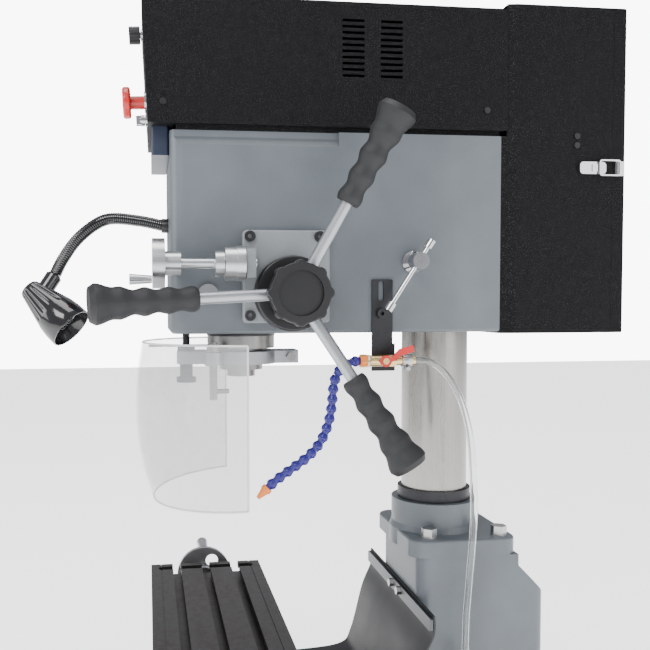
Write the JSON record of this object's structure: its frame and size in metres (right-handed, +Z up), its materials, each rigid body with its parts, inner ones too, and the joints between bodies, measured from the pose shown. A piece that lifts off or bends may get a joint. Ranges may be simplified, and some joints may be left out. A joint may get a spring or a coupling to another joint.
{
  "type": "drill press",
  "caption": "Round-column mill drill: lifting and swinging head, three-arm quill feed, T-slot cross table, clear chip guard, lamp and coolant line.",
  "frame": {"origin": "centre of the four base bolt holes, on the base's underside", "axes": "+Z up, +X to the operator's right, -Y towards the operator"},
  "size_m": [1.0166, 0.9908, 1.281],
  "materials": {
    "blue_grey_paint": "satin enamel over casting",
    "black_texture": "black textured powder coat",
    "ground_iron": "ground, oiled",
    "ground_steel": "ground",
    "dark_steel": "blackened",
    "aluminium": "turned",
    "chrome": "polished",
    "brass": "machined",
    "black_plastic": "moulded",
    "grip_rubber": "moulded rubber",
    "rubber_sheet": "sheet rubber",
    "red_plastic": "moulded",
    "blue_plastic": "moulded",
    "orange_plastic": "moulded",
    "navy_plastic": "moulded",
    "clear_vinyl": "clear hose",
    "clear_sheet": "polycarbonate sheet",
    "belt_rubber": "ribbed belt"
  },
  "bodies": {
    "base": {"base_casting": "blue_grey_paint", "column_flange": "blue_grey_paint", "column_tube": "ground_steel", "hex_bolts": "chrome", "way_cover_sheet": "rubber_sheet", "way_cover_strip": "dark_steel", "hose_inlet": "brass", "hose_lower": "clear_vinyl"},
    "rack": {"lift_rack": "dark_steel", "hose_joiner": "brass"},
    "head": {"head_casting": "blue_grey_paint", "quill_guide": "ground_steel", "top_cover": "black_texture", "head_screws": "dark_steel", "rear_box": "black_texture", "control_box": "navy_plastic", "control_bezels": "chrome", "feed_plate": "blue_grey_paint", "oil_sight": "chrome", "coolant_bracket": "dark_steel", "coolant_valve": "brass", "hose_upper": "clear_vinyl", "jointed_hose": "blue_plastic", "coolant_nozzle": "orange_plastic", "motor": "blue_grey_paint", "drive_belt": "belt_rubber", "spring_housing": "aluminium", "lamp_arm": "black_plastic"},
    "lift_gear": {"lift_gear": "ground_steel"},
    "lift_crank": {"lift_crank": "dark_steel"},
    "motor_rotor": {"motor_pulley": "aluminium"},
    "spindle_pulley": {"spindle_pulley": "aluminium"},
    "quill": {"quill": "ground_steel", "depth_bracket": "aluminium", "depth_rod": "dark_steel", "guard_post": "ground_steel"},
    "guard": {"guard_shield": "clear_sheet"},
    "spindle": {"spindle": "ground_steel"},
    "capstan": {"capstan_hub": "black_plastic", "pinion_shaft": "ground_steel", "capstan_rods": "aluminium", "capstan_grips": "grip_rubber"},
    "clutch_knob": {"clutch_knob": "black_plastic"},
    "fine_feed": {"fine_feed": "aluminium"},
    "fine_handle": {"fine_handle": "aluminium"},
    "lock_screw": {"lock_screw": "chrome"},
    "lock_bar": {"lock_bar": "chrome"},
    "estop": {"estop_button": "red_plastic"},
    "speed_knob": {"speed_knob": "black_plastic"},
    "selector": {"selector_switch": "chrome"},
    "rear_door": {"rear_door": "black_texture", "latch_strike": "chrome"},
    "latch_lever": {"latch_lever": "chrome"},
    "latch_bail": {"latch_bail": "chrome"},
    "valve_lever": {"valve_lever": "red_plastic"},
    "lamp": {"lamp_head": "black_plastic"},
    "saddle": {"saddle": "blue_grey_paint"},
    "cross_wheel": {"cross_feed_screw": "aluminium"},
    "table": {"table": "ground_iron"},
    "table_wheels": {"table_feed_screw": "aluminium"}
  },
  "joints": [
    {"name": "head_swing", "type": "hinge", "parent": "base", "child": "rack", "pos_m": [0, 0.145, 0], "axis": [0, 0, 1], "range_deg": [-45, 30], "deforming": ["hose_lower"]},
    {"name": "head_lift", "type": "slide", "parent": "rack", "child": "head", "axis": [0, 0, 1], "range_m": [-0.17, 0.02], "deforming": ["hose_upper"]},
    {"name": "lift_crank_turn", "type": "hinge", "parent": "head", "child": "lift_crank", "pos_m": [-0.15, 0.17, 0.9294], "axis": [1, 0, 0], "range_deg": [-13344, 1571]},
    {"name": "lift_gear_turn", "type": "hinge", "parent": "head", "child": "lift_gear", "pos_m": [-0.0888, 0.15, 0.9], "axis": [0, 1, 0], "range_deg": [-668, 79]},
    {"name": "quill_feed", "type": "slide", "parent": "head", "child": "quill", "axis": [0, 0, -1], "range_m": [0, 0.12], "stiffness_N_per_m": 300, "springref_m": -0.7},
    {"name": "capstan_turn", "type": "hinge", "parent": "head", "child": "capstan", "pos_m": [0.15, -0.141, 0.811], "axis": [1, 0, 0], "range_deg": [0, 240]},
    {"name": "clutch_knob_turn", "type": "hinge", "parent": "capstan", "child": "clutch_knob", "pos_m": [0.22, -0.141, 0.811], "axis": [1, 0, 0], "range_deg": [0, 180]},
    {"name": "motor_spin", "type": "hinge", "parent": "head", "child": "motor_rotor", "pos_m": [0, 0.317, 1.1], "axis": [0, 0, 1], "continuous": true},
    {"name": "pulley_spin", "type": "hinge", "parent": "head", "child": "spindle_pulley", "pos_m": [0, -0.205, 1.1], "axis": [0, 0, 1], "continuous": true},
    {"name": "spindle_spin", "type": "hinge", "parent": "quill", "child": "spindle", "pos_m": [0, -0.205, 0.7], "axis": [0, 0, 1], "continuous": true},
    {"name": "fine_feed_turn", "type": "hinge", "parent": "head", "child": "fine_feed", "pos_m": [0.165, -0.3, 0.857], "axis": [0, 1, 0], "continuous": true},
    {"name": "fine_handle_turn", "type": "hinge", "parent": "fine_feed", "child": "fine_handle", "pos_m": [0.165, -0.375, 0.833], "axis": [0, 1, 0], "continuous": true},
    {"name": "guard_swing", "type": "hinge", "parent": "quill", "child": "guard", "pos_m": [0.06, -0.258, 0.728], "axis": [0, 0, 1], "range_deg": [-40, 0]},
    {"name": "lock_screw_turn", "type": "hinge", "parent": "head", "child": "lock_screw", "pos_m": [0.15, 0.062, 0.862], "axis": [1, 0, 0], "range_deg": [-60, 60]},
    {"name": "lock_bar_slide", "type": "slide", "parent": "lock_screw", "child": "lock_bar", "axis": [0, 0.5452, 0.8383], "range_m": [-0.01, 0.06]},
    {"name": "estop_push", "type": "slide", "parent": "head", "child": "estop", "axis": [0, 0.9989, 0.0459], "range_m": [0, 0.005]},
    {"name": "speed_knob_turn", "type": "hinge", "parent": "head", "child": "speed_knob", "pos_m": [0.06, -0.36903, 1.229], "axis": [0, -0.9989, -0.0459], "range_deg": [-150, 150]},
    {"name": "selector_turn", "type": "hinge", "parent": "head", "child": "selector", "pos_m": [0.06, -0.36278, 1.093], "axis": [0, -0.9989, -0.0459], "range_deg": [-45, 45]},
    {"name": "rear_door_swing", "type": "hinge", "parent": "head", "child": "rear_door", "pos_m": [-0.135, 0.4114, 1], "axis": [0, 0, 1], "range_deg": [0, 110]},
    {"name": "latch_lever_lift", "type": "hinge", "parent": "head", "child": "latch_lever", "pos_m": [0.134, 0.391, 1.018], "axis": [0, 0, 1], "range_deg": [0, 100]},
    {"name": "latch_bail_swing", "type": "hinge", "parent": "latch_lever", "child": "latch_bail", "pos_m": [0.1397, 0.378, 1.018], "axis": [0, 0, 1], "range_deg": [-100, 0]},
    {"name": "valve_lever_turn", "type": "hinge", "parent": "head", "child": "valve_lever", "pos_m": [0.163, 0.007, 0.704], "axis": [1, 0, 0], "range_deg": [0, 90]},
    {"name": "lamp_swivel", "type": "hinge", "parent": "head", "child": "lamp", "pos_m": [0.064, -0.512, 0.844], "axis": [0.2566, -0.5098, -0.8212], "range_deg": [-60, 60]},
    {"name": "saddle_feed", "type": "slide", "parent": "base", "child": "saddle", "axis": [0, 1, 0], "range_m": [-0.045, 0.1], "deforming": ["way_cover_sheet"]},
    {"name": "table_feed", "type": "slide", "parent": "saddle", "child": "table", "axis": [1, 0, 0], "range_m": [-0.18, 0.18]},
    {"name": "cross_wheel_turn", "type": "hinge", "parent": "base", "child": "cross_wheel", "pos_m": [0, -0.34, 0.062], "axis": [0, 1, 0], "range_deg": [-3241, 7201]},
    {"name": "table_wheel_turn", "type": "hinge", "parent": "table", "child": "table_wheels", "pos_m": [0, -0.2426, 0.177], "axis": [1, 0, 0], "range_deg": [-12961, 12961]}
  ],
  "couplings": [
    {"joint": "lift_crank_turn", "follows": "head_lift", "rad_per_m": 1369.9},
    {"joint": "lift_gear_turn", "follows": "head_lift", "rad_per_m": 68.493},
    {"joint": "capstan_turn", "follows": "quill_feed", "rad_per_m": 34.72},
    {"joint": "pulley_spin", "follows": "motor_spin", "ratio": 0.91304},
    {"joint": "spindle_spin", "follows": "motor_spin", "ratio": 0.91304},
    {"joint": "latch_bail_swing", "follows": "latch_lever_lift", "ratio": -1},
    {"joint": "cross_wheel_turn", "follows": "saddle_feed", "rad_per_m": 1256.6},
    {"joint": "table_wheel_turn", "follows": "table_feed", "rad_per_m": 1256.6}
  ]
}
